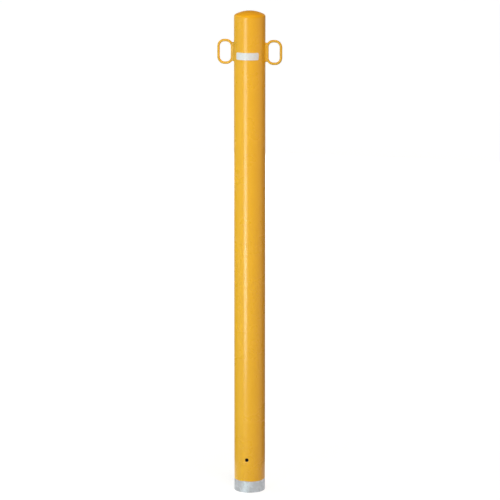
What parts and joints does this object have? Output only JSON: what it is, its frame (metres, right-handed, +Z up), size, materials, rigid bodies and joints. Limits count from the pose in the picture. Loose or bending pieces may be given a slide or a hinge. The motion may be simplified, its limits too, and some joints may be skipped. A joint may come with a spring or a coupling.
{
  "type": "parking post",
  "caption": "Round steel parking post with a domed cap, an oval rod loop for a chain on each side near the top, a bare label and a cross hole near the foot.",
  "frame": {"origin": "centre of the tube's cut lower end", "axes": "+Z up along the tube's axis, +X towards the right loop, -Y the front with the label and the cross hole"},
  "size_m": [0.1272, 0.0607, 0.95],
  "materials": {
    "yellow_paint": "gloss yellow paint on steel, bare galvanised steel on the lowest 23 mm of the tube",
    "label_film": "plain white label film"
  },
  "bodies": {
    "root": {"post_tube": "yellow_paint", "dome_cap": "yellow_paint", "left_loop": "yellow_paint", "right_loop": "yellow_paint", "left_lug": "yellow_paint", "right_lug": "yellow_paint", "label": "label_film"}
  },
  "joints": []
}
